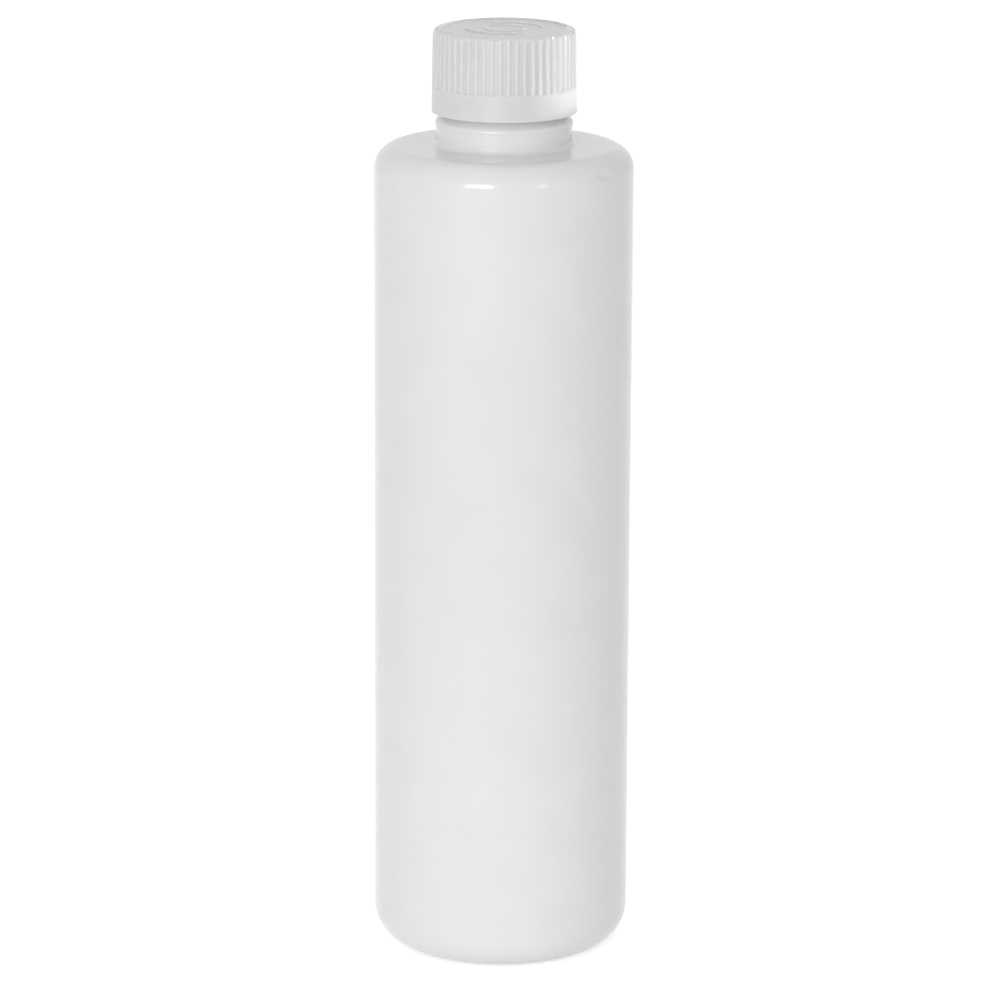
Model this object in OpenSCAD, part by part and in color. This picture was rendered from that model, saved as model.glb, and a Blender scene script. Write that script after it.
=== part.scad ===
// Child-resistant bottle: a slim round blown bottle with a push-down-and-turn screw closure.
// The origin is the middle of the base on the surface it stands on, with the axis along +Z.

/* [Bottle body] */
// Outside diameter of the body
body_d = 50; // [44:1:60]
// Height of the shoulder beside the neck
shoulder_z = 159.4; // [120:0.2:200]
// Radius of the rounded edge of the shoulder
shoulder_r = 4.6; // [3:0.2:7]
// Fall of the shoulder from the neck to its rounded edge
shoulder_fall = 0.1; // [0:0.1:2]
// Radius of the rounded heel
heel_r = 7.4; // [2:0.2:9]
// Wall of the blown body
wall = 1; // [0.7:0.1:1.4]
// Width of the flat ring that the bottle stands on
foot_w = 1.6; // [1:0.2:3]
// Height of the push-up in the middle of the base
push_up = 2.4; // [1:0.2:4]
// Length of the pinched seam across the base
pinch_len = 15; // [8:1:20]
// Length of the dent along the edge of the shoulder
dent_len = 6.1; // [4:0.1:6.5]
// Width of the dent
dent_w = 2.2; // [1.6:0.1:2.4]
// Depth of the dent
dent_depth = 0.4; // [0.3:0.05:0.6]
// Direction of the dent, from the front of the bottle towards its right
dent_turn = 51; // [0:1:360]

/* [Neck] */
// Outside diameter of the plain neck
neck_d = 26.2; // [25:0.1:28]
// Height of the plain neck under its ring
neck_h = 3.8; // [3:0.1:8]
// Wall of the plain neck
neck_wall = 1.5; // [1:0.1:2]
// Radius of the hollow between neck and shoulder
neck_fillet = 1.8; // [0.5:0.1:3]
// Diameter of the ring under the closure
ring_d = 26.5; // [26:0.1:29]
// Height of the ring under the closure
ring_h = 1.4; // [1.2:0.1:2.5]
// Radius of the ring's upper edge
ring_round = 1.1; // [0.5:0.1:1.2]
// Height of the threaded neck above the ring
finish_h = 10.4; // [9:0.1:14]
// Outside diameter of the neck between the threads
finish_d = 19.7; // [19:0.1:20.5]
// Outside diameter of the neck's thread
thread_d = 21.8; // [21:0.1:22.4]
// Bore of the neck
bore_d = 16; // [12:0.5:17]
// Rise of the thread in one turn
pitch = 3.175; // [2.5:0.005:4]
// Length of the thread in turns
thread_turns = 1.25; // [1:0.05:1.5]
// Depth of the thread's start under the mouth
thread_drop = 1.5; // [1.2:0.1:2.5]

/* [Inner cap] */
// Thickness of the foam sealing disc
liner_t = 1; // [0.5:0.1:1.5]
// Thickness of the inner cap's roof
deck_t = 1.1; // [0.8:0.1:1.5]
// Wall of the inner cap's skirt
skirt_wall = 1; // [0.7:0.05:1.1]
// Gap between the neck's thread and the inner cap's skirt
thread_gap = 0.2; // [0.1:0.05:0.4]
// Overhang of the snap flange at the inner cap's edge
flange_w = 0.25; // [0.1:0.05:0.3]
// Height of the snap flange
flange_h = 1; // [0.5:0.1:2]

/* [Outer cap] */
// Diameter over the ribs at the top
cap_top_d = 27.55; // [27:0.1:30]
// Diameter of the smooth band at the lower edge
cap_band_d = 27.9; // [27.8:0.1:31]
// Height of the smooth band
band_h = 4.9; // [2:0.1:7]
// Gap between the neck's ring and the lower edge
cap_gap = 1.1; // [0.8:0.1:2]
// Thickness of the roof
roof_t = 1.5; // [1:0.1:2]
// Room between the two roofs for the ratchet and the spring
roof_gap = 3.3; // [3.2:0.1:5]
// Bore of the skirt
cap_bore = 25.1; // [25.1:0.05:26]
// Number of grip ribs
ribs = 54; // [24:1:72]
// Radius of one grip rib
rib_r = 0.42; // [0.3:0.01:0.6]
// How far the ribs stand out of the skirt
rib_h = 0.32; // [0.2:0.01:0.5]
// Radius of the rounded top edge
top_round = 1.3; // [0.4:0.1:1.5]
// Width of the raised rim round the top
rim_w = 1.6; // [1:0.1:2.5]
// Depth of the top inside its rim
rim_depth = 0.25; // [0.1:0.05:0.5]

/* [Ratchet and spring] */
// Travel of the outer cap when it is pushed down, until its teeth reach the inner cap's roof
push_travel = 1.3; // [1:0.05:1.6]
// Number of ratchet teeth on each cap
teeth = 12; // [8:4:16]
// Inside diameter of the two rings of teeth
tooth_in_d = 17; // [16.4:0.2:18]
// Outside diameter of the two rings of teeth
tooth_out_d = 22.6; // [21:0.2:23]
// Height between the tips of the teeth when nothing is pushed
tip_gap = 0.3; // [0.15:0.05:0.5]
// Outside diameter of the spring ring
spring_d = 16; // [14:0.2:16.2]
// Width of the spring ring
spring_w = 3; // [2:0.1:4]
// Thickness of the spring ring and its fingers
spring_t = 0.5; // [0.3:0.05:0.8]
// Number of spring fingers
fingers = 6; // [3:1:8]

/* [Hidden] */

$fn = 96;
eps = 0.01;
// How far cutting shapes run past the faces they cut
over = 1;

hdpe_white = [0.90, 0.90, 0.90];
pp_white = [0.87, 0.88, 0.89];
foam_white = [0.95, 0.95, 0.93];
spring_white = [0.93, 0.94, 0.95];

// Radii of the bottle
body_r = body_d / 2;
neck_r = neck_d / 2;
ring_r = ring_d / 2;
finish_r = finish_d / 2;
thread_r = thread_d / 2;
bore_r = bore_d / 2;

// Heights of the neck, from the shoulder to the mouth
ring_z = shoulder_z + neck_h;
ring_top = ring_z + ring_h;
mouth_z = ring_top + finish_h;
rim_round = 0.4;

// The shoulder is a straight slope that runs tangent into its rounded edge
edge_x = body_r - shoulder_r;
slope = atan(shoulder_fall / (edge_x - neck_r));
edge_z = shoulder_z - tan(slope) * (edge_x - neck_r) - shoulder_r / cos(slope);

// The push-up is part of a sphere that meets the foot ring
foot_r = body_r - heel_r - foot_w;
dome_r = (foot_r * foot_r + push_up * push_up) / (2 * push_up);

// Thread profile: height along the axis at the root and at the crest
root_w = 2.1;
crest_w = 0.7;
thread_embed = 0.4;
thread_steps = 36;
// Part of a turn in which the thread runs out at each end, and the share of its depth left there
run_out = 0.12;
end_share = 0.15;
// Play on the loaded side of the thread when the closure is tight
thread_play = 0.12;
// Height at which the neck's thread starts
thread_z = mouth_z - thread_drop - pitch * thread_turns;

// Lower edge of the outer cap. Its lip clears the neck's ring when the cap is pushed down.
cap_z = ring_top + cap_gap;
lip_gap = 0.05;
lip_r = ring_r + lip_gap;
lip_h = 0.6;
// The snap bead above the lip catches under the inner cap's flange
bead_catch = 0.3;
bead_gap = 0.1;
bead_h = 0.45;
bead_top = cap_z + lip_h + 2 * bead_h;
inner_z = bead_top + bead_gap;

// Inner cap
deck_z = mouth_z + liner_t;
deck_top = deck_z + deck_t;
inner_bore_r = thread_r + thread_gap;
inner_r = inner_bore_r + skirt_wall;
flange_r = inner_r + flange_w;
inner_round = 0.5;
liner_gap = 0.3;
liner_r = inner_bore_r - liner_gap;
// The cap's thread starts where its root clears the edge of the skirt
edge_clear = 0.3;
cap_thread_z = inner_z + root_w / 2 + edge_clear;
cap_thread_start = max(0, (cap_thread_z - thread_z + pitch / 2 - thread_play) / pitch);

// Outer cap
roof_z = deck_top + roof_gap;
cap_top = roof_z + roof_t;
cap_bore_r = cap_bore / 2;
band_top = cap_z + band_h;
draft = atan((cap_band_d - cap_top_d) / 2 / (cap_top - cap_z));
bead_r = flange_r - bead_catch;

// Ratchet: both rings of teeth have a steep side that tightens and a sloped side that slips
tooth_in_r = tooth_in_d / 2;
tooth_out_r = tooth_out_d / 2;
tooth_mid_r = (tooth_in_r + tooth_out_r) / 2;
tooth_h = push_travel - tip_gap;
tooth_step = 360 / teeth;
// Shares of one step that an inner tooth's ramp and flat top and the play at each side take
ramp_share = 0.3;
flat_share = 0.17;
play_share = 0.05;
ramp_turn = tooth_step * ramp_share;
flat_turn = tooth_step * flat_share;
side_play = tooth_step * play_share;
// Angle that the outer cap's teeth fill at their tips, between two teeth of the inner cap
gap_turn = tooth_step - ramp_turn - flat_turn - 2 * side_play;
ramp_angle = atan(tooth_h / (tooth_mid_r * sin(ramp_turn)));
tip_z = deck_top + tooth_h + tip_gap;
drive_z = tip_z + tooth_h;
// The ring that carries the outer cap's teeth is a little wider than they are
drive_edge = 0.2;
// How far the teeth run into what carries them
tooth_root = 0.2;

// Spring ring
spring_r = spring_d / 2;
spring_in_r = spring_r - spring_w;
finger_gap = 0.05;
// The fingers are a little narrower than the ring that they rise from
finger_edge = 0.2;
finger_len = 5.2;
finger_rise = roof_gap - finger_gap - spring_t;
finger_angle = asin(finger_rise / finger_len);

// The ribs stay this far inside the envelope, so that they end in the band and not on it
rib_sink = 0.04;

// Radius of the outer cap's envelope at height z
function envelope_r(z) = cap_top_d / 2 + tan(draft) * (cap_top - z);

// A round that fills an outside corner at x, z, below and inside it
module corner_round(x, z, r) {
    translate([x - r, z - r]) circle(r);
}

// Outline of a turned plug from the axis to radius r, with a rounded upper edge
module plug_outline(r, z0, z1, round_r) {
    translate([0, z0]) square([r, z1 - z0 - round_r]);
    translate([0, z0]) square([r - round_r, z1 - z0]);
    corner_round(r, z1, round_r);
}

// Outline of the blown body, moved inwards by inset
module body_outline(inset) {
    r = body_r - inset;
    heel = heel_r - inset;
    edge = shoulder_r - inset;
    tangent = [edge_x + edge * sin(slope), edge_z + edge * cos(slope)];
    polygon([[0, inset], [body_r - heel_r, inset], [r, heel_r], [r, edge_z], tangent,
             [0, tangent[1] + tan(slope) * tangent[0]]]);
    translate([body_r - heel_r, heel_r]) circle(heel);
    translate([edge_x, edge_z]) circle(edge);
}

// Section of the push-up, thickened by inset
module dome_outline(inset) {
    intersection() {
        translate([0, push_up - dome_r]) circle(dome_r + inset, $fn = 240);
        translate([0, -over]) square([body_r, push_up + inset + 2 * over]);
    }
}

// Hollow curve between the neck and the shoulder
module neck_fillet_outline() {
    centre_z = shoulder_z - tan(slope) * neck_fillet + neck_fillet / cos(slope);
    difference() {
        translate([neck_r - wall, shoulder_z - wall])
            square([wall + neck_fillet * (1 - sin(slope)), centre_z - shoulder_z + wall]);
        translate([neck_r + neck_fillet, centre_z]) circle(neck_fillet);
    }
}

// Outside of the neck: plain neck, ring and the finish under the thread
module neck_outline() {
    translate([0, shoulder_z - wall]) square([neck_r, ring_z - shoulder_z + wall + eps]);
    neck_fillet_outline();
    plug_outline(ring_r, ring_z, ring_top, ring_round);
    plug_outline(finish_r, ring_z, mouth_z, rim_round);
}

// Inside of the neck: wide under the ring and narrow through the finish
module neck_hollow_outline() {
    wide_r = neck_r - neck_wall;
    polygon([[0, shoulder_z - 3 * wall], [wide_r, shoulder_z - 3 * wall], [wide_r, ring_z - neck_wall],
             [bore_r, ring_z + ring_h / 2], [bore_r, mouth_z + over], [0, mouth_z + over]]);
}

// A thread as a strip that winds round the axis. It stands on the wall at wall_r, reaches
// crest_r and runs out into the wall at both ends. The helix passes height z at angle 0, and
// the strip runs along it from one turn to another.
module thread(wall_r, crest_r, z, from_turn, to_turn) {
    side = sign(crest_r - wall_r);
    root_r = wall_r - side * thread_embed;
    n = round(thread_steps * (to_turn - from_turn));
    out_steps = thread_steps * run_out;
    function grow(i) = end_share + (1 - end_share) * min(1, i / out_steps, (n - i) / out_steps);
    function at(i, r, h) = let (turn = from_turn + (to_turn - from_turn) * i / n)
        [r * cos(360 * turn), r * sin(360 * turn), z + pitch * turn + side * h];
    points = [for (i = [0:n]) let (tip_r = root_r + (crest_r - root_r) * grow(i)) each [
        at(i, root_r, -root_w / 2), at(i, root_r, root_w / 2),
        at(i, tip_r, crest_w / 2), at(i, tip_r, -crest_w / 2)]];
    sides = [for (i = [0:n - 1], k = [0:3]) let (a = 4 * i + k, b = 4 * i + (k + 1) % 4)
        each [[b, a, b + 4], [b + 4, a, a + 4]]];
    polyhedron(points, concat([[0, 2, 3], [0, 1, 2]], sides,
        [[4 * n, 4 * n + 2, 4 * n + 1], [4 * n, 4 * n + 3, 4 * n + 2]]));
}

// Shallow dent that lies along the rounded edge of the shoulder and falls to one side. What
// cuts it is a short piece of a bent bar, with one radius across the dent and one along it.
module dent() {
    tilt = 16;
    fall = 18;
    across_r = 1 / (8 * dent_depth / (dent_w * dent_w) - 1 / shoulder_r);
    along_r = 1 / (8 * dent_depth / (dent_len * dent_len) - 1 / body_r);
    span = 4 * asin(dent_len / 2 / along_r);
    rotate([0, 0, dent_turn - 90]) translate([edge_x, 0, edge_z])
        rotate([0, -tilt, 0]) rotate([-fall, 0, 0])
        translate([shoulder_r + along_r - dent_depth, 0, 0]) rotate([0, 0, 180 - span / 2])
        rotate_extrude(angle = span) translate([along_r - across_r, 0]) circle(across_r);
}

module bottle() {
    color(hdpe_white) {
        difference() {
            rotate_extrude() difference() {
                union() {
                    body_outline(0);
                    neck_outline();
                }
                dome_outline(0);
                difference() {
                    union() {
                        body_outline(wall);
                        neck_hollow_outline();
                    }
                    dome_outline(wall);
                }
            }
            dent();
        }
        thread(finish_r, thread_r, thread_z, 0, thread_turns);
        pinch_seam();
    }
}

// Seam where the mould pinched the tube shut, across the push-up
module pinch_seam() {
    seam_w = 0.8;
    seam_h = 0.4;
    intersection() {
        translate([-pinch_len / 2, -seam_w / 2, 0]) cube([pinch_len, seam_w, push_up + wall]);
        rotate_extrude() difference() {
            dome_outline(wall / 2);
            dome_outline(-seam_h);
        }
    }
}

module liner() {
    color(foam_white) translate([0, 0, mouth_z]) cylinder(r = liner_r, h = liner_t);
}

// Ring between two radii
module full_ring(r0, r1, z0, z1) {
    rotate_extrude() translate([r0, z0]) square([r1 - r0, z1 - z0]);
}

// Sector of a ring between two radii, from one angle to another
module ring_sector(r0, r1, z0, z1, a0, a1) {
    rotate([0, 0, a0]) rotate_extrude(angle = a1 - a0) translate([r0, z0]) square([r1 - r0, z1 - z0]);
}

// Half space above the ramp that starts at angle a and height z and rises with the angle
module above_ramp(a, z) {
    rotate([0, 0, a]) translate([0, 0, z]) rotate([ramp_angle, 0, 0])
        translate([0, -tooth_out_r, 0]) cube([2 * tooth_out_r, 3 * tooth_out_r, 3 * tooth_h]);
}

// Ratchet tooth on the inner cap's roof: it rises along a ramp and ends in a steep side
module inner_tooth() {
    difference() {
        ring_sector(tooth_in_r, tooth_out_r, deck_top - tooth_root, deck_top + tooth_h,
            0, ramp_turn + flat_turn);
        above_ramp(0, deck_top);
    }
}

// Drive tooth under the outer cap's roof: it fits between two teeth of the inner cap
module outer_tooth() {
    start = ramp_turn + flat_turn + side_play;
    intersection() {
        ring_sector(tooth_in_r, tooth_out_r, tip_z, drive_z + tooth_root,
            start, start + gap_turn + ramp_turn);
        difference() {
            ring_sector(tooth_in_r - over, tooth_out_r + over, tip_z - over, drive_z + over,
                start - over, start + gap_turn + ramp_turn + over);
            difference() {
                ring_sector(tooth_in_r - 2 * over, tooth_out_r + 2 * over, tip_z - 2 * over,
                    drive_z + 2 * over, start + gap_turn, start + gap_turn + 3 * ramp_turn);
                above_ramp(start + gap_turn, tip_z);
            }
        }
    }
}

module inner_cap() {
    color(pp_white) {
        rotate_extrude() difference() {
            union() {
                plug_outline(inner_r, inner_z, deck_top, inner_round);
                plug_outline(flange_r, inner_z, inner_z + flange_h, flange_w);
            }
            translate([0, inner_z - over]) square([inner_bore_r, deck_z - inner_z + over]);
        }
        thread(inner_bore_r, finish_r + thread_gap, thread_z - pitch / 2 + thread_play,
            cap_thread_start, thread_turns);
        for (i = [0:teeth - 1]) rotate([0, 0, i * tooth_step]) inner_tooth();
    }
}

// Springy ring that lies on the inner cap's roof and lifts the outer cap with its fingers
module spring_ring() {
    color(spring_white) {
        difference() {
            translate([0, 0, deck_top]) cylinder(r = spring_r, h = spring_t);
            translate([0, 0, deck_top - over]) cylinder(r = spring_in_r, h = spring_t + 2 * over);
        }
        for (i = [0:fingers - 1]) rotate([0, 0, i * 360 / fingers]) spring_finger();
    }
}

// Finger that rises from the ring along its curve
module spring_finger() {
    root = 0.3;
    intersection() {
        full_ring(spring_in_r + finger_edge, spring_r - finger_edge, deck_top + eps,
            roof_z - finger_gap);
        translate([0, 0, deck_top]) rotate([finger_angle, 0, 0])
            translate([0, -root, 0]) cube([spring_r, finger_len + root, spring_t]);
    }
}

// Outside of the outer cap without its ribs
module cap_outline() {
    core_top = envelope_r(cap_top) - rib_h;
    lead = rib_h;
    polygon([[0, cap_z], [envelope_r(cap_z), cap_z], [envelope_r(band_top), band_top],
             [envelope_r(band_top) - rib_h, band_top + lead], [core_top, cap_top - top_round],
             [core_top - top_round, cap_top], [0, cap_top]]);
    corner_round(core_top, cap_top, top_round);
}

// Inside of the outer cap: lip, snap bead and plain bore
module cap_hollow_outline() {
    polygon([[0, cap_z - over], [lip_r, cap_z - over], [lip_r, cap_z], [cap_bore_r, cap_z + lip_h],
             [cap_bore_r, bead_top - 2 * bead_h], [bead_r, bead_top - bead_h], [bead_r, bead_top],
             [cap_bore_r, bead_top], [cap_bore_r, roof_z], [0, roof_z]]);
}

// The grip ribs follow the draft of the skirt and end in the rounded top edge
module grip_ribs() {
    round_r = top_round + rib_h;
    round_x = envelope_r(cap_top) + rib_sink - round_r;
    round_z = cap_top - round_r;
    foot_z = band_top - rib_h;
    intersection() {
        for (i = [0:ribs - 1]) rotate([0, 0, i * 360 / ribs])
            translate([envelope_r(foot_z) - rib_sink - rib_r, 0, foot_z]) rotate([0, -draft, 0])
                cylinder(r = rib_r, h = cap_top - foot_z, $fn = 16);
        rotate_extrude() {
            polygon([[0, foot_z - over], [envelope_r(foot_z) + over, foot_z - over],
                     [round_x + round_r, round_z], [round_x, cap_top], [0, cap_top]]);
            translate([round_x, round_z]) circle(round_r);
        }
    }
}

// Raised ring and two turning arrows on the roof
module top_marks() {
    mark_h = rim_depth * 0.8;
    ring_in = 3.6;
    arrow_in = 7;
    arrow_w = 0.7;
    arrow_turn = 100;
    head_w = 2.2;
    z = cap_top - rim_depth - eps;
    full_ring(ring_in, ring_in + arrow_w, z, z + mark_h);
    for (side = [0, 180]) rotate([0, 0, side]) {
        ring_sector(arrow_in, arrow_in + arrow_w, z, z + mark_h, 0, arrow_turn);
        rotate([0, 0, arrow_turn]) translate([arrow_in + arrow_w / 2, 0, z]) linear_extrude(mark_h)
            polygon([[-head_w / 2, -eps], [head_w / 2, -eps], [0, head_w]]);
    }
}

module outer_cap() {
    color(pp_white) {
        rotate_extrude() difference() {
            cap_outline();
            cap_hollow_outline();
            translate([0, cap_top - rim_depth])
                square([envelope_r(cap_top) - rib_h - rim_w, rim_depth + over]);
        }
        grip_ribs();
        full_ring(tooth_in_r - drive_edge, tooth_out_r + drive_edge, drive_z, roof_z + tooth_root);
        for (i = [0:teeth - 1]) rotate([0, 0, i * tooth_step]) outer_tooth();
        top_marks();
    }
}

bottle();
liner();
inner_cap();
spring_ring();
outer_cap();
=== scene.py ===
# Child-resistant bottle: a slim round blown bottle with a ribbed push-down-and-turn closure.
# Lengths are in metres, and +Z runs up the bottle's axis from the surface that it stands on.
import math

import bmesh
import bpy
from bpy.props import FloatProperty, FloatVectorProperty, IntProperty, PointerProperty
from mathutils import Matrix, Vector, noise


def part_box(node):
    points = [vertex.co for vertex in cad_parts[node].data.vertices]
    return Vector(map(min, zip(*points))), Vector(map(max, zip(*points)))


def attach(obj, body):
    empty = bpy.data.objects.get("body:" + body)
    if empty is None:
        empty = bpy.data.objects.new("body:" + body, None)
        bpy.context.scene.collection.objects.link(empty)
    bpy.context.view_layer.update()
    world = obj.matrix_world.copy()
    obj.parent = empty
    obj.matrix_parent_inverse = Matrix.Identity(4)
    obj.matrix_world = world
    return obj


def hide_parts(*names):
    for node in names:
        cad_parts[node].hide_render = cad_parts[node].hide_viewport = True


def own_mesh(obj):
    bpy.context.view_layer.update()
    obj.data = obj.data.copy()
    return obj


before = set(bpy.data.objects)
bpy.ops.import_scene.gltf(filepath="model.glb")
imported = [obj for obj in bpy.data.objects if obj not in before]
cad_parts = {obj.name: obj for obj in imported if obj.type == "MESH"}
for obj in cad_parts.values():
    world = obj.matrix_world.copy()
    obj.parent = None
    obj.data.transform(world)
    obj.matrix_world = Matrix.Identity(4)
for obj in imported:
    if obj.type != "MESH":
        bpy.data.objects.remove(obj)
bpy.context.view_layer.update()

bl_info = {
    "name": "Child-resistant bottle",
    "version": (1, 0, 0),
    "blender": (4, 5, 0),
    "location": "View3D > Sidebar > Bottle",
    "description": "Blown bottle with a ribbed push-down-and-turn closure, its finishes and"
                   " a studio",
    "category": "Add Mesh",
}

MM = 0.001


def linear(code):
    """Linear colour of an sRGB hex value such as #E5E5E3."""
    parts = [int(code[i:i + 2], 16) / 255 for i in (1, 3, 5)]
    return tuple(p / 12.92 if p <= 0.04045 else ((p + 0.055) / 1.055) ** 2.4 for p in parts)


def length(name, description, mm):
    return FloatProperty(name=name, description=description, default=mm * MM, min=0.0,
                         unit="LENGTH", precision=5)


def colour(name, description, code):
    return FloatVectorProperty(name=name, description=description, default=linear(code),
                               min=0.0, max=1.0, subtype="COLOR")


# Sizes and colours

class BottleSizes(bpy.types.PropertyGroup):
    """Sizes of the blown bottle."""
    body_d: length("Body diameter", "Outside diameter of the body", 50)
    wall: length("Wall", "Wall of the blown body", 1)
    heel_r: length("Heel radius", "Radius of the rounded heel", 7.4)
    foot_w: length("Foot width", "Width of the flat ring that the bottle stands on", 1.6)
    push_up: length("Push-up", "Height of the push-up in the base", 2.4)
    pinch_len: length("Pinch seam", "Length of the pinched seam across the base", 15)
    shoulder_z: length("Shoulder height", "Height of the shoulder beside the neck", 159.4)
    shoulder_r: length("Shoulder radius", "Radius of the shoulder's rounded edge", 4.6)
    shoulder_fall: length("Shoulder fall", "Fall of the shoulder from the neck to its edge", 0.1)
    neck_d: length("Neck diameter", "Outside diameter of the plain neck", 26.2)
    neck_h: length("Neck height", "Height of the plain neck under its ring", 3.8)
    neck_wall: length("Neck wall", "Wall of the plain neck", 1.5)
    neck_fillet: length("Neck fillet", "Radius of the hollow between neck and shoulder", 1.0)
    ring_d: length("Ring diameter", "Diameter of the ring under the closure", 26.5)
    ring_h: length("Ring height", "Height of the ring under the closure", 1.4)
    ring_round: length("Ring rounding", "Radius of the ring's upper edge", 1.1)
    cone_d: length("Cone diameter", "Diameter at the top of the ring's cone", 23.8)
    finish_d: length("Finish diameter", "Diameter of the neck between the threads", 19.7)
    finish_h: length("Finish height", "Height of the threaded neck above the ring", 10.4)
    thread_d: length("Thread diameter", "Outside diameter of the thread", 21.8)
    bore_d: length("Bore", "Bore of the neck", 16)
    pitch: length("Pitch", "Rise of the thread in one turn", 3.175)
    thread_drop: length("Thread drop", "Depth of the thread's start under the mouth", 1.5)
    thread_turns: FloatProperty(name="Thread turns", description="Length of the thread in turns",
                                default=1.25, min=0.5, max=2)
    parting_h: length("Parting line", "Height of the mould's parting line", 0.05)
    ripple: length("Ripple", "Depth of the slow ripples in the blown wall", 0.05)
    dent_len: length("Dent length", "Length of the dent along the shoulder's edge", 6.1)
    dent_w: length("Dent width", "Width of the dent", 2.2)
    dent_depth: length("Dent depth", "Depth of the dent", 0.4)
    dent_lip: length("Dent lip", "How softly the dent runs out into the skin", 0.16)
    dent_turn: FloatProperty(name="Dent direction", description="From the front to the right",
                             default=math.radians(51), subtype="ANGLE")
    dent_tilt: FloatProperty(name="Dent tilt", description="How far up the edge the dent lies",
                             default=math.radians(16), subtype="ANGLE")
    dent_fall: FloatProperty(name="Dent fall", description="Fall of the dent to one side",
                             default=math.radians(18), subtype="ANGLE")


class ClosureSizes(bpy.types.PropertyGroup):
    """Sizes of the spring ring in the closure."""
    spring_d: length("Spring diameter", "Outside diameter of the spring ring", 16)
    spring_w: length("Spring width", "Width of the spring ring", 3)
    spring_t: length("Spring thickness", "Thickness of the ring and its fingers", 0.5)
    spring_h: length("Spring height", "Height of the finger tips over the inner cap's roof", 3.17)
    finger_len: length("Finger length", "Length of one finger", 5.2)
    fingers: IntProperty(name="Fingers", description="Number of spring fingers", default=6, min=3)


class Colours(bpy.types.PropertyGroup):
    """Colours of the plastics."""
    body: colour("Bottle", "White polyethylene of the bottle", "#E1E1E1")
    outer_cap: colour("Outer cap", "White polypropylene of the outer cap", "#D7D7D8")
    inner_cap: colour("Inner cap", "White polypropylene of the inner cap", "#E1E1E2")
    liner: colour("Sealing disc", "Polyethylene foam", "#F0F0EA")
    spring: colour("Spring ring", "Natural acetal", "#ECEDEE")
    stage: colour("Studio", "Floor and surroundings", "#FFFFFF")


class StudioSettings(bpy.types.PropertyGroup):
    """Light of the studio."""
    key_power: FloatProperty(name="Key lamp", description="Large soft lamp from the left front",
                             default=4.6, min=0, unit="POWER")
    fill_power: FloatProperty(name="Fill lamp", description="Smaller soft lamp from the right",
                              default=0.75, min=0, unit="POWER")
    top_power: FloatProperty(name="Top lamp", description="Soft lamp over the bottle",
                             default=0.5, min=0, unit="POWER")
    low_power: FloatProperty(name="Low lamp", description="Lamp near the floor at the front",
                             default=0.006, min=0, unit="POWER")
    beam_power: FloatProperty(name="Closure lamp", description="Narrow beam at the closure",
                              default=0.0021, min=0, unit="POWER")
    ambient: FloatProperty(name="Ambient light", description="Light from all round",
                           default=0.62, min=0)
    floor_glow: FloatProperty(name="Floor glow", description="White that the camera sees in the"
                              " floor besides its own lit colour", default=0.5, min=0)


# Materials

def add_node(tree, kind, links=None, **settings):
    """Adds a node, sets its properties or input values, and links its inputs to other outputs."""
    node = tree.nodes.new(kind)
    for name, value in settings.items():
        if hasattr(node, name):
            setattr(node, name, value)
        else:
            node.inputs[name.replace("_", " ")].default_value = value
    for name, output in (links or {}).items():
        tree.links.new(output, node.inputs[name])
    return node


def new_material(name):
    material = bpy.data.materials.new(name)
    material.use_nodes = True
    tree = material.node_tree
    tree.nodes.clear()
    return material, tree


def finish_material(tree, shader, **inputs):
    """Sets the shader's plain inputs and joins it to the material's output."""
    for name, value in inputs.items():
        shader.inputs[name.replace("_", " ")].default_value = value
    add_node(tree, "ShaderNodeOutputMaterial", {"Surface": shader.outputs["BSDF"]})


def place(tree, scale=(1, 1, 1)):
    """Position on the object, in metres, so that a pattern's scale is 1 over its size."""
    where = add_node(tree, "ShaderNodeTexCoord")
    return add_node(tree, "ShaderNodeMapping", {"Vector": where.outputs["Object"]},
                    Scale=scale).outputs["Vector"]


def pattern_scale(mm):
    """Scale of a noise or cell pattern whose features are that many millimetres apart."""
    return 1 / (mm * MM)


def mottled(tree, colour, noise_output, share):
    """The colour, made lighter and darker by a share of itself where the noise says so."""
    dark = [c * (1 - share) for c in colour] + [1]
    light = [min(1, c * (1 + share)) for c in colour] + [1]
    ramp = add_node(tree, "ShaderNodeValToRGB", {"Fac": noise_output})
    for stop, position, value in zip(ramp.color_ramp.elements, (0.3, 0.7), (dark, light)):
        stop.position = position
        stop.color = value
    return ramp.outputs["Color"]


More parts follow.
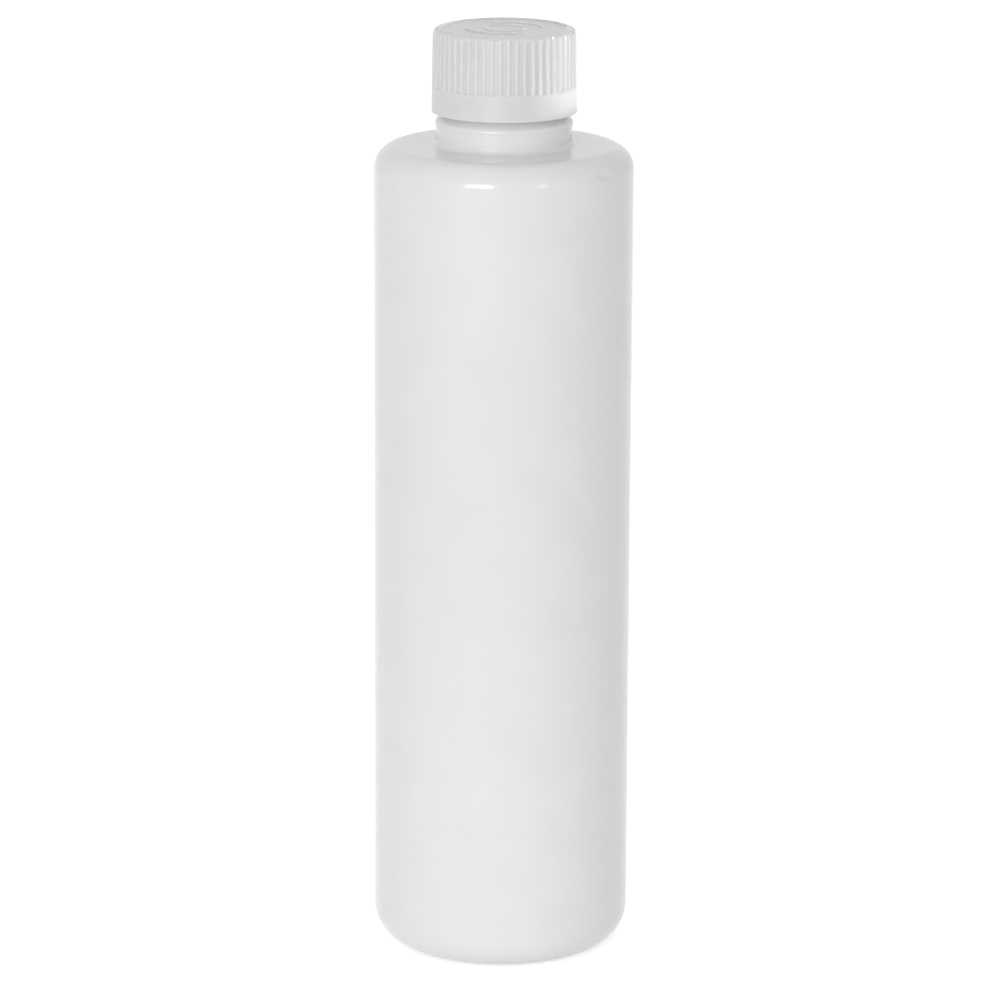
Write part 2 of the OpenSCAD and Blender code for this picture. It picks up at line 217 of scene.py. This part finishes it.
def blown_polyethylene(colour):
    """High-density polyethylene, blow-moulded: a satin skin that takes the mould's fine blasting,
    slow ripples where the wall cooled unevenly, and die lines that run along the bottle."""
    material, tree = new_material("blown high-density polyethylene")
    cloud = add_node(tree, "ShaderNodeTexNoise", {"Vector": place(tree)},
                     Scale=pattern_scale(9), Detail=3.0)
    # Die lines are 1.6 mm apart round the bottle and drawn out along it
    lines = add_node(tree, "ShaderNodeTexNoise", {"Vector": place(tree, (1, 1, 0.02))},
                     Scale=pattern_scale(1.6), Detail=2.0)
    # The blasted skin's grain of 0.15 mm is drawn at 0.5 mm, as the render shows nothing finer
    grain = add_node(tree, "ShaderNodeTexNoise", {"Vector": place(tree)},
                     Scale=pattern_scale(0.5), Detail=2.0)
    relief = add_node(tree, "ShaderNodeBump", {"Height": lines.outputs["Fac"]},
                      Strength=0.10, Distance=0.02 * MM)
    relief = add_node(tree, "ShaderNodeBump",
                      {"Height": grain.outputs["Fac"], "Normal": relief.outputs["Normal"]},
                      Strength=0.25, Distance=0.01 * MM)
    sheen = add_node(tree, "ShaderNodeMapRange", {"Value": cloud.outputs["Fac"]},
                     To_Min=0.12, To_Max=0.17)
    shader = add_node(tree, "ShaderNodeBsdfPrincipled", {
        "Base Color": mottled(tree, colour, cloud.outputs["Fac"], 0.012),
        "Roughness": sheen.outputs["Result"], "Normal": relief.outputs["Normal"]})
    finish_material(tree, shader, IOR=1.54, Specular_IOR_Level=0.45, Subsurface_Weight=0.4,
                    Subsurface_Scale=1 * MM, Subsurface_Radius=(1.0, 0.98, 0.96))
    return material


def moulded_polypropylene(name, colour, low, high):
    """Polypropylene, injection-moulded: clearer and glossier than the bottle, with a milky
    depth in its thin ribs and a fine eroded texture from the mould."""
    material, tree = new_material(name)
    cloud = add_node(tree, "ShaderNodeTexNoise", {"Vector": place(tree)},
                     Scale=pattern_scale(5), Detail=3.0)
    # Eroded texture of 0.1 mm, drawn at 0.35 mm, as the render shows nothing finer
    grain = add_node(tree, "ShaderNodeTexNoise", {"Vector": place(tree)},
                     Scale=pattern_scale(0.35), Detail=2.0)
    relief = add_node(tree, "ShaderNodeBump", {"Height": grain.outputs["Fac"]},
                      Strength=0.3, Distance=0.01 * MM)
    sheen = add_node(tree, "ShaderNodeMapRange", {"Value": cloud.outputs["Fac"]},
                     To_Min=low, To_Max=high)
    shader = add_node(tree, "ShaderNodeBsdfPrincipled", {
        "Base Color": mottled(tree, colour, cloud.outputs["Fac"], 0.01),
        "Roughness": sheen.outputs["Result"], "Normal": relief.outputs["Normal"]})
    finish_material(tree, shader, IOR=1.49, Specular_IOR_Level=0.35, Subsurface_Weight=0.6,
                    Subsurface_Scale=1.5 * MM, Subsurface_Radius=(1.0, 0.98, 0.97))
    return material


def foamed_polyethylene(colour):
    """Polyethylene foam, extruded and punched: matt, with small closed cells."""
    material, tree = new_material("foamed polyethylene")
    cells = add_node(tree, "ShaderNodeTexVoronoi", {"Vector": place(tree)},
                     Scale=pattern_scale(0.3))
    relief = add_node(tree, "ShaderNodeBump", {"Height": cells.outputs["Distance"]},
                      Strength=0.6, Distance=0.05 * MM)
    shader = add_node(tree, "ShaderNodeBsdfPrincipled", {
        "Base Color": mottled(tree, colour, cells.outputs["Distance"], 0.03),
        "Normal": relief.outputs["Normal"]})
    finish_material(tree, shader, Roughness=0.85, IOR=1.5, Subsurface_Weight=0.3,
                    Subsurface_Scale=0.8 * MM)
    return material


def moulded_acetal(colour):
    """Acetal, injection-moulded and uncoloured: dense white with a waxy shine."""
    material, tree = new_material("moulded acetal")
    cloud = add_node(tree, "ShaderNodeTexNoise", {"Vector": place(tree)},
                     Scale=pattern_scale(2), Detail=2.0)
    sheen = add_node(tree, "ShaderNodeMapRange", {"Value": cloud.outputs["Fac"]},
                     To_Min=0.22, To_Max=0.3)
    shader = add_node(tree, "ShaderNodeBsdfPrincipled", {
        "Base Color": mottled(tree, colour, cloud.outputs["Fac"], 0.01),
        "Roughness": sheen.outputs["Result"]})
    finish_material(tree, shader, IOR=1.48, Subsurface_Weight=0.2, Subsurface_Scale=1 * MM)
    return material


def seen_directly(tree):
    """1 for the camera and for mirrored and refracted rays, and 0 for all others."""
    path = add_node(tree, "ShaderNodeLightPath")
    seen = path.outputs["Is Camera Ray"]
    for ray in ("Is Glossy Ray", "Is Transmission Ray"):
        both = add_node(tree, "ShaderNodeMath", operation="MAXIMUM")
        tree.links.new(seen, both.inputs[0])
        tree.links.new(path.outputs[ray], both.inputs[1])
        seen = both.outputs["Value"]
    return seen


# Shapes

def arc(x, z, r, start, end, steps):
    """Points on an arc about x, z, from one angle to another in degrees."""
    angles = [math.radians(start + (end - start) * i / steps) for i in range(steps + 1)]
    return [(x + r * math.cos(a), z + r * math.sin(a)) for a in angles]


def line(start, end, step):
    """Points from start towards end, without the end, about one step apart."""
    count = max(1, round(math.dist(start, end) / step))
    return [tuple(a + (b - a) * i / count for a, b in zip(start, end)) for i in range(count)]


def make_object(name, bm, material, body):
    """Turns a bmesh into a smooth piece that rides on a body."""
    bmesh.ops.recalc_face_normals(bm, faces=bm.faces)
    mesh = bpy.data.meshes.new(name)
    bm.to_mesh(mesh)
    bm.free()
    mesh.materials.append(material)
    mesh.shade_smooth()
    piece = bpy.data.objects.new(name, mesh)
    bpy.context.scene.collection.objects.link(piece)
    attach(piece, body)
    return piece


def keep_edges(piece, angle=35):
    """Keeps edges sharper than the angle hard in an otherwise smooth piece."""
    piece.data.set_sharp_from_angle(angle=math.radians(angle))
    return piece


def lathe(bm, profile, angles):
    """Turns a profile of (radius, height) about Z. Points on the axis become poles."""
    rings = []
    for r, z in profile:
        if r < 1e-7:
            rings.append([bm.verts.new((0, 0, z))])
        else:
            rings.append([bm.verts.new((r * math.cos(a), r * math.sin(a), z)) for a in angles])
    count = len(angles)
    for lower, upper in zip(rings, rings[1:]):
        for i in range(count):
            j = (i + 1) % count
            corners = [lower[i % len(lower)], lower[j % len(lower)],
                       upper[j % len(upper)], upper[i % len(upper)]]
            bm.faces.new(list(dict.fromkeys(corners)))


def body_profile(s):
    """Section of the blown bottle: from the middle of the base round the outside to the mouth,
    and down the inside again."""
    body_r, neck_r, ring_r = s.body_d / 2, s.neck_d / 2, s.ring_d / 2
    finish_r, bore_r = s.finish_d / 2, s.bore_d / 2
    ring_z = s.shoulder_z + s.neck_h
    ring_top = ring_z + s.ring_h
    mouth_z = ring_top + s.finish_h
    # Roundings of the mouth and of the corner at the foot of the finish
    rim, corner = 0.4 * MM, 0.3 * MM
    edge_x = body_r - s.shoulder_r
    slope = math.atan(s.shoulder_fall / (edge_x - neck_r))
    tilt = math.degrees(slope)
    edge_z = s.shoulder_z - math.tan(slope) * (edge_x - neck_r) - s.shoulder_r / math.cos(slope)
    foot_r = body_r - s.heel_r - s.foot_w
    dome_r = (foot_r ** 2 + s.push_up ** 2) / (2 * s.push_up)
    fillet_x = neck_r + s.neck_fillet
    fillet_z = s.shoulder_z + (1 / math.cos(slope) - math.tan(slope)) * s.neck_fillet

    def dome(r, inset):
        return s.push_up - dome_r + math.sqrt((dome_r + inset) ** 2 - r ** 2)

    outside = [(foot_r * i / 30, dome(foot_r * i / 30, 0)) for i in range(31)]
    outside += arc(body_r - s.heel_r, s.heel_r, s.heel_r, -90, 0, 18)
    outside += line((body_r, s.heel_r), (body_r, edge_z), 2.5 * MM)[1:]
    outside += arc(edge_x, edge_z, s.shoulder_r, 0, 90 - tilt, 44)
    outside += line(outside[-1], (fillet_x, s.shoulder_z), 0.8 * MM)[1:]
    outside += arc(fillet_x, fillet_z, s.neck_fillet, 270 - tilt, 180, 12)
    outside += line((neck_r, fillet_z), (neck_r, ring_z), 0.7 * MM)[1:]
    outside += [(neck_r, ring_z), (ring_r - 0.02 * MM, ring_z), (ring_r, ring_z + 0.05 * MM)]
    # The ring's rounding runs on as a steep cone, so the gap under the closure isn't a dark slot
    round_end, cone_r = 39, s.cone_d / 2
    outside += arc(ring_r - s.ring_round, ring_top - s.ring_round, s.ring_round, 0, round_end, 8)
    start_r, start_z = outside[-1]
    cone_top = start_z + (start_r - cone_r) / math.tan(math.radians(round_end))
    outside += line((start_r, start_z), (cone_r, cone_top), 0.2 * MM)[1:]
    outside += [(cone_r, cone_top), (finish_r + corner, cone_top)]
    outside += arc(finish_r + corner, cone_top + corner, corner, 270, 180, 5)[1:]
    outside += arc(finish_r - rim, mouth_z - rim, rim, 0, 90, 6)
    inner_r, inner_foot = body_r - s.wall, body_r - s.heel_r
    wide_r = neck_r - s.neck_wall
    inside = arc(bore_r + rim, mouth_z - rim, rim, 90, 180, 6)
    inside += [(bore_r, ring_z + s.ring_h / 2), (wide_r, ring_z - s.neck_wall),
               (wide_r, s.shoulder_z - s.wall)]
    inside += arc(edge_x, edge_z, s.shoulder_r - s.wall, 90 - tilt, 0, 8)
    inside += line((inner_r, edge_z), (inner_r, s.heel_r), 10 * MM)[1:]
    inside += arc(inner_foot, s.heel_r, s.heel_r - s.wall, 0, -90, 8)
    inside += [(foot_r * i / 10, dome(foot_r * i / 10, s.wall)) for i in range(10, -1, -1)]
    return outside, inside, edge_x, edge_z


def body_angles(s):
    """Directions of the lathe's edges: even all round, and closer at the parting lines, which
    are 0.3 mm wide, and across the dent."""
    around, least_apart = 240, 0.004
    even = [2 * math.pi * i / around for i in range(around)]
    step = 0.1 * MM / (s.body_d / 2)
    close = [side + step * k for side in (0, math.pi) for k in range(-3, 4)]
    dent = s.dent_turn - math.pi / 2
    reach = s.dent_len / s.body_d * 1.6
    close += [dent + reach * k / 20 for k in range(-20, 21)]
    close = [a % (2 * math.pi) for a in close]
    apart = [a for a in even if all(abs(a - c) > least_apart for c in close)]
    return sorted(set(apart + close))


class BOTTLE_OT_body(bpy.types.Operator):
    """Blown bottle: body with push-up, shoulder, neck and mouth, its parting line and its dent"""
    bl_idname = "bottle.body"
    bl_label = "Blown bottle"

    def execute(self, context):
        s = context.scene.bottle_sizes
        plastic = blown_polyethylene(context.scene.bottle_colours.body)
        outside, inside, edge_x, edge_z = body_profile(s)
        # Height over which the ripples fade out, and half the width of the parting line
        fade_z, seam_half = 12 * MM, 0.15 * MM
        # The ripples lie about 36 mm apart up the bottle
        wave_turn, wave_rise = 1.4, 28
        # The dent is what a short piece of a bent bar would press into the shoulder's edge
        dent_place = (Matrix.Rotation(s.dent_turn - math.pi / 2, 4, "Z")
                      @ Matrix.Translation((edge_x, 0, edge_z))
                      @ Matrix.Rotation(-s.dent_tilt, 4, "Y")
                      @ Matrix.Rotation(-s.dent_fall, 4, "X"))
        to_dent = dent_place.inverted()
        across_r = 1 / (8 * s.dent_depth / s.dent_w ** 2 - 1 / s.shoulder_r)
        along_r = 1 / (8 * s.dent_depth / s.dent_len ** 2 - 2 / s.body_d)
        bar_x = s.shoulder_r + along_r - s.dent_depth

        def dent(p):
            """Presses a point of the skin in to the face of the bar, with a soft lip."""
            q = to_dent @ p
            if q.x < 0 or abs(q.y) > 0.9 * s.dent_len or abs(q.z) > 0.9 * s.dent_w:
                return p
            round_x = math.sqrt(max(0, across_r ** 2 - q.z ** 2))
            face = math.sqrt((along_r - across_r + round_x) ** 2 - q.y ** 2)
            over = q.x - (bar_x - face)
            if over > -s.dent_lip:
                if over < s.dent_lip:
                    over = (over + s.dent_lip) ** 2 / (4 * s.dent_lip)
                q.x -= over
            return dent_place @ q

        def shape(p):
            r = math.hypot(p.x, p.y)
            side = Vector((p.x, p.y, 0)) / r
            move = 0.0
            inner = r < s.body_d / 2 - s.shoulder_r and p.z > s.shoulder_z
            if not inner:
                fade = min(1, p.z / fade_z, max(0, edge_z - p.z) / fade_z)
                wave = noise.noise(Vector((side.x * wave_turn, side.y * wave_turn,
                                           p.z * wave_rise)))
                move -= s.ripple * fade * (0.5 + 0.5 * wave)
            away = abs(p.y) / seam_half
            if away < 1 and 1 * MM < p.z < s.shoulder_z + s.neck_h:
                move += s.parting_h * (1 - away * away) ** 2 - s.parting_h
            return dent(p + side * move)

        bm = bmesh.new()
        lathe(bm, outside + inside, body_angles(s))
        for v in bm.verts:
            r = math.hypot(v.co.x, v.co.y)
            if r > 1e-6 and (r > s.body_d / 2 - 0.5 * s.wall or v.co.z > 1 * MM):
                if on_outside(v.co, s, edge_x, edge_z):
                    v.co = shape(v.co.copy())
        piece = make_object("blown_body", bm, plastic, "bottle")
        keep_edges(piece)
        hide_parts("bottle")
        self.thread(s, plastic)
        self.pinch_seam(s, plastic)
        return {"FINISHED"}

    def thread(self, s, plastic):
        """Single-start thread: a rounded rib that winds up the neck and runs out at both ends."""
        root_w, crest_w, run_out = 2.1 * MM, 0.7 * MM, 0.12
        wall_r, crest_r = s.finish_d / 2, s.thread_d / 2
        mouth_z = s.shoulder_z + s.neck_h + s.ring_h + s.finish_h
        start_z = mouth_z - s.thread_drop - s.pitch * s.thread_turns
        root_r = wall_r - 0.4 * MM
        steps = round(72 * s.thread_turns)
        section = [(0, -0.5 * root_w), (0.75, -0.62 * crest_w), (0.95, -0.42 * crest_w),
                   (1, -0.2 * crest_w), (1, 0.2 * crest_w), (0.95, 0.42 * crest_w),
                   (0.75, 0.62 * crest_w), (0, 0.5 * root_w)]
        bm = bmesh.new()
        rows = []
        for i in range(steps + 1):
            turn = s.thread_turns * i / steps
            near = min(1, turn / run_out, (s.thread_turns - turn) / run_out)
            grow = 0.15 + 0.85 * math.sin(near * math.pi / 2)
            a = 2 * math.pi * turn
            rows.append([bm.verts.new((
                (root_r + share * grow * (crest_r - root_r)) * math.cos(a),
                (root_r + share * grow * (crest_r - root_r)) * math.sin(a),
                start_z + s.pitch * turn + h)) for share, h in section])
        for low, high in zip(rows, rows[1:]):
            for k in range(len(section)):
                m = (k + 1) % len(section)
                bm.faces.new((low[k], low[m], high[m], high[k]))
        bm.faces.new(rows[0][::-1])
        bm.faces.new(rows[-1])
        keep_edges(make_object("neck_thread", bm, plastic, "bottle"))

    def pinch_seam(self, s, plastic):
        """Low rib across the push-up, where the mould pinched the tube shut."""
        seam_w, seam_h = 0.8 * MM, 0.4 * MM
        foot_r = s.body_d / 2 - s.heel_r - s.foot_w
        dome_r = (foot_r ** 2 + s.push_up ** 2) / (2 * s.push_up)
        steps = 40
        bm = bmesh.new()
        rows = []
        for i in range(steps + 1):
            x = s.pinch_len * (i / steps - 0.5)
            fade = math.sqrt(max(0.02, 1 - (2 * x / s.pinch_len) ** 6))
            z = s.push_up - dome_r + math.sqrt(dome_r ** 2 - x * x)
            rows.append([bm.verts.new((x, seam_w / 2 * w * fade, z - h * fade))
                         for w, h in ((-1, -0.3 * seam_h), (-0.8, 0.6 * seam_h), (-0.3, seam_h),
                                      (0.3, seam_h), (0.8, 0.6 * seam_h), (1, -0.3 * seam_h))])
        for low, high in zip(rows, rows[1:]):
            for k in range(6):
                m = (k + 1) % 6
                bm.faces.new((low[k], low[m], high[m], high[k]))
        bm.faces.new(rows[0][::-1])
        bm.faces.new(rows[-1])
        keep_edges(make_object("pinch_seam", bm, plastic, "bottle"), 50)


def on_outside(p, s, edge_x, edge_z):
    """Whether a point of the body lies on its outer skin."""
    r = math.hypot(p.x, p.y)
    body_r = s.body_d / 2
    half = 0.5 * s.wall
    if p.z > s.shoulder_z + half:
        return r > s.neck_d / 2 - half and p.z < s.shoulder_z + s.neck_h
    if r > edge_x and p.z > edge_z:
        return math.hypot(r - edge_x, p.z - edge_z) > s.shoulder_r - half
    if p.z > edge_z:
        return p.z > s.shoulder_z - half - s.shoulder_fall
    return r > body_r - half


class BOTTLE_OT_liner(bpy.types.Operator):
    """Foam disc under the inner cap's roof, which seals the mouth"""
    bl_idname = "bottle.liner"
    bl_label = "Sealing disc"

    def execute(self, context):
        foam = foamed_polyethylene(context.scene.bottle_colours.liner)
        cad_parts["liner"].material_slots[0].material = foam
        return {"FINISHED"}


class BOTTLE_OT_inner_cap(bpy.types.Operator):
    """Threaded inner cap with its ring of ratchet teeth"""
    bl_idname = "bottle.inner_cap"
    bl_label = "Inner cap"

    def execute(self, context):
        plastic = moulded_polypropylene("moulded polypropylene, inner cap",
                                        context.scene.bottle_colours.inner_cap, 0.30, 0.36)
        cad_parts["inner_cap"].material_slots[0].material = plastic
        return {"FINISHED"}


class BOTTLE_OT_outer_cap(bpy.types.Operator):
    """Ribbed outer cap with its drive teeth and the turning arrows on its roof"""
    bl_idname = "bottle.outer_cap"
    bl_label = "Outer cap"

    def execute(self, context):
        plastic = moulded_polypropylene("moulded polypropylene, outer cap",
                                        context.scene.bottle_colours.outer_cap, 0.28, 0.34)
        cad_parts["outer_cap"].material_slots[0].material = plastic
        return {"FINISHED"}


class BOTTLE_OT_spring(bpy.types.Operator):
    """Spring ring that lies on the inner cap and flattens when the outer cap is pushed"""
    bl_idname = "bottle.spring"
    bl_label = "Spring ring"

    def execute(self, context):
        s = context.scene.bottle_closure
        plastic = moulded_acetal(context.scene.bottle_colours.spring)
        base_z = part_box("spring_ring")[0].z
        out_r, in_r, round_r = s.spring_d / 2, s.spring_d / 2 - s.spring_w, 0.12 * MM
        z0, z1 = base_z, base_z + s.spring_t
        corners = [(out_r - round_r, z0 + round_r, -90), (out_r - round_r, z1 - round_r, 0),
                   (in_r + round_r, z1 - round_r, 90), (in_r + round_r, z0 + round_r, 180)]
        section = [p for x, z, a in corners for p in arc(x, z, round_r, a, a + 90, 3)]
        bm = bmesh.new()
        lathe(bm, section + section[:1], [2 * math.pi * i / 96 for i in range(96)])
        bmesh.ops.remove_doubles(bm, verts=bm.verts, dist=1e-7)
        for i in range(s.fingers):
            self.finger(bm, s, 2 * math.pi * i / s.fingers, base_z)
        piece = make_object("spring_ring_part", bm, plastic, "spring_ring")
        keep_edges(piece, 50)
        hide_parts("spring_ring")
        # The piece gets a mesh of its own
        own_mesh(piece)
        return {"FINISHED"}

    def finger(self, bm, s, turn, base_z):
        """Leaf that rises from the ring in a slow curve and ends in a rounded tip."""
        steps = 14
        mid_r = (s.spring_d - s.spring_w) / 2
        half_w = s.spring_w / 2 - 0.2 * MM
        t = s.spring_t
        rise = s.spring_h - t
        run = math.sqrt(s.finger_len ** 2 - rise ** 2)
        rows = []
        for i in range(steps + 1):
            u = i / steps
            a = turn + (run * u - 0.3 * MM) / mid_r
            z = base_z + rise * (1.5 * u ** 2 - 0.5 * u ** 3)
            tip = math.sqrt(max(0.06, 1 - max(0, (u - 0.8) / 0.2) ** 2)) if u > 0.8 else 1
            wide = half_w * tip
            rows.append([bm.verts.new(((mid_r + w * wide) * math.cos(a),
                                       (mid_r + w * wide) * math.sin(a), z + h * t))
                         for w, h in ((-1, 0.2), (-1, 0.8), (-0.9, 1), (0.9, 1),
                                      (1, 0.8), (1, 0.2), (0.9, 0.02), (-0.9, 0.02))])
        for low, high in zip(rows, rows[1:]):
            for k in range(8):
                m = (k + 1) % 8
                bm.faces.new((low[k], low[m], high[m], high[k]))
        bm.faces.new(rows[0][::-1])
        bm.faces.new(rows[-1])


class BOTTLE_OT_stage(bpy.types.Operator):
    """Pale floor and surroundings, the lamps and the camera"""
    bl_idname = "bottle.stage"
    bl_label = "Studio"

    def execute(self, context):
        studio = context.scene.bottle_studio
        white = tuple(context.scene.bottle_colours.stage) + (1,)
        self.world(context.scene, studio, white)
        self.floor(studio, white)
        # Height aimed at and distance in metres, directions and spread in degrees: from the
        # front towards the right, and above the horizon
        for name, power, turn, lift, size, at_z, distance, spread in (
                ("key_lamp", studio.key_power, -21, 10, (0.50, 0.36), 0.09, 1.2, 180),
                ("fill_lamp", studio.fill_power, 33, 10, (0.16, 0.28), 0.09, 1.2, 180),
                ("top_lamp", studio.top_power, 0, 80, (0.8, 0.8), 0.09, 1.2, 180),
                ("low_lamp", studio.low_power, -8, 2, (0.20, 0.02), 0.005, 0.5, 26),
                ("closure_lamp", studio.beam_power, 110, 4, (0.04, 0.022), 0.177, 0.3, 1)):
            self.lamp(name, power, turn, lift, size, Vector((0, 0, at_z)), distance, spread)
        self.camera(context.scene)
        return {"FINISHED"}

    def world(self, scene, studio, white):
        world = bpy.data.worlds.new("studio surroundings")
        scene.world = world
        world.use_nodes = True
        tree = world.node_tree
        tree.nodes.clear()
        seen = seen_directly(tree)
        level = add_node(tree, "ShaderNodeMapRange", {"Value": seen},
                         To_Min=studio.ambient, To_Max=1.0)
        light = add_node(tree, "ShaderNodeBackground", {"Strength": level.outputs["Result"]},
                         Color=white)
        add_node(tree, "ShaderNodeOutputWorld", {"Surface": light.outputs["Background"]})

    def floor(self, studio, white):
        """A wide disc that stays white to the camera and still takes the bottle's shadow."""
        bm = bmesh.new()
        bmesh.ops.create_circle(bm, cap_ends=True, radius=12, segments=96)
        mesh = bpy.data.meshes.new("floor")
        bm.to_mesh(mesh)
        bm.free()
        floor = bpy.data.objects.new("floor", mesh)
        bpy.context.scene.collection.objects.link(floor)
        material, tree = new_material("matt white paper")
        seen = seen_directly(tree)
        glow = add_node(tree, "ShaderNodeMath", operation="MULTIPLY")
        tree.links.new(seen, glow.inputs[0])
        glow.inputs[1].default_value = studio.floor_glow
        light = add_node(tree, "ShaderNodeEmission", {"Strength": glow.outputs["Value"]},
                         Color=white)
        paper = add_node(tree, "ShaderNodeBsdfDiffuse", Color=linear("#F8F8F8") + (1,))
        both = add_node(tree, "ShaderNodeAddShader")
        tree.links.new(light.outputs["Emission"], both.inputs[0])
        tree.links.new(paper.outputs["BSDF"], both.inputs[1])
        add_node(tree, "ShaderNodeOutputMaterial", {"Surface": both.outputs["Shader"]})
        mesh.materials.append(material)

    def lamp(self, name, power, turn, lift, size, at, distance, spread):
        """Rectangular soft lamp that points at a place on the bottle from a distance."""
        turn, lift = math.radians(turn), math.radians(lift)
        away = Vector((math.sin(turn) * math.cos(lift), -math.cos(turn) * math.cos(lift),
                       math.sin(lift)))
        data = bpy.data.lights.new(name, "AREA")
        data.shape = "RECTANGLE"
        data.size, data.size_y = size
        data.energy = power
        data.spread = math.radians(spread)
        lamp = bpy.data.objects.new(name, data)
        lamp.visible_camera = False
        lamp.location = at + away * distance
        lamp.rotation_euler = (-away).to_track_quat("-Z", "Y").to_euler()
        bpy.context.scene.collection.objects.link(lamp)

    def camera(self, scene):
        """Long lens 0.95 m in front of the bottle and 0.32 m up, as in the photograph."""
        data = bpy.data.cameras.new("camera")
        data.lens = 180.63
        data.sensor_width = 36
        data.clip_start, data.clip_end = 0.05, 50
        camera = bpy.data.objects.new("camera", data)
        camera.matrix_world = (Matrix.Translation((-0.000465, -0.950361, 0.324268))
                               @ Matrix.Rotation(math.radians(90 - 13.908), 4, "X")
                               @ Matrix.Rotation(math.radians(0.275), 4, "Z"))
        scene.collection.objects.link(camera)
        scene.camera = camera
        scene.view_settings.view_transform = "Standard"


class BOTTLE_PT_panel(bpy.types.Panel):
    """Lists the bottle's pieces, sizes and colours"""
    bl_idname = "BOTTLE_PT_panel"
    bl_label = "Child-resistant bottle"
    bl_space_type = "VIEW_3D"
    bl_region_type = "UI"
    bl_category = "Bottle"

    def draw(self, context):
        for operator in OPERATORS:
            self.layout.operator(operator.bl_idname)
        for name in GROUPS:
            group = getattr(context.scene, name)
            box = self.layout.box()
            for prop in group.__annotations__:
                box.prop(group, prop)


GROUPS = {"bottle_sizes": BottleSizes, "bottle_closure": ClosureSizes,
          "bottle_colours": Colours, "bottle_studio": StudioSettings}
OPERATORS = (BOTTLE_OT_stage, BOTTLE_OT_body, BOTTLE_OT_liner, BOTTLE_OT_inner_cap,
             BOTTLE_OT_spring, BOTTLE_OT_outer_cap)
CLASSES = (*GROUPS.values(), *OPERATORS, BOTTLE_PT_panel)


def register():
    for item in CLASSES:
        bpy.utils.register_class(item)
    for name, group in GROUPS.items():
        setattr(bpy.types.Scene, name, PointerProperty(type=group))


def unregister():
    for name in GROUPS:
        delattr(bpy.types.Scene, name)
    for item in reversed(CLASSES):
        bpy.utils.unregister_class(item)


def main():
    register()
    bpy.ops.bottle.stage()
    bpy.ops.bottle.body()
    bpy.ops.bottle.liner()
    bpy.ops.bottle.inner_cap()
    bpy.ops.bottle.spring()
    bpy.ops.bottle.outer_cap()


if __name__ == "__main__":
    main()
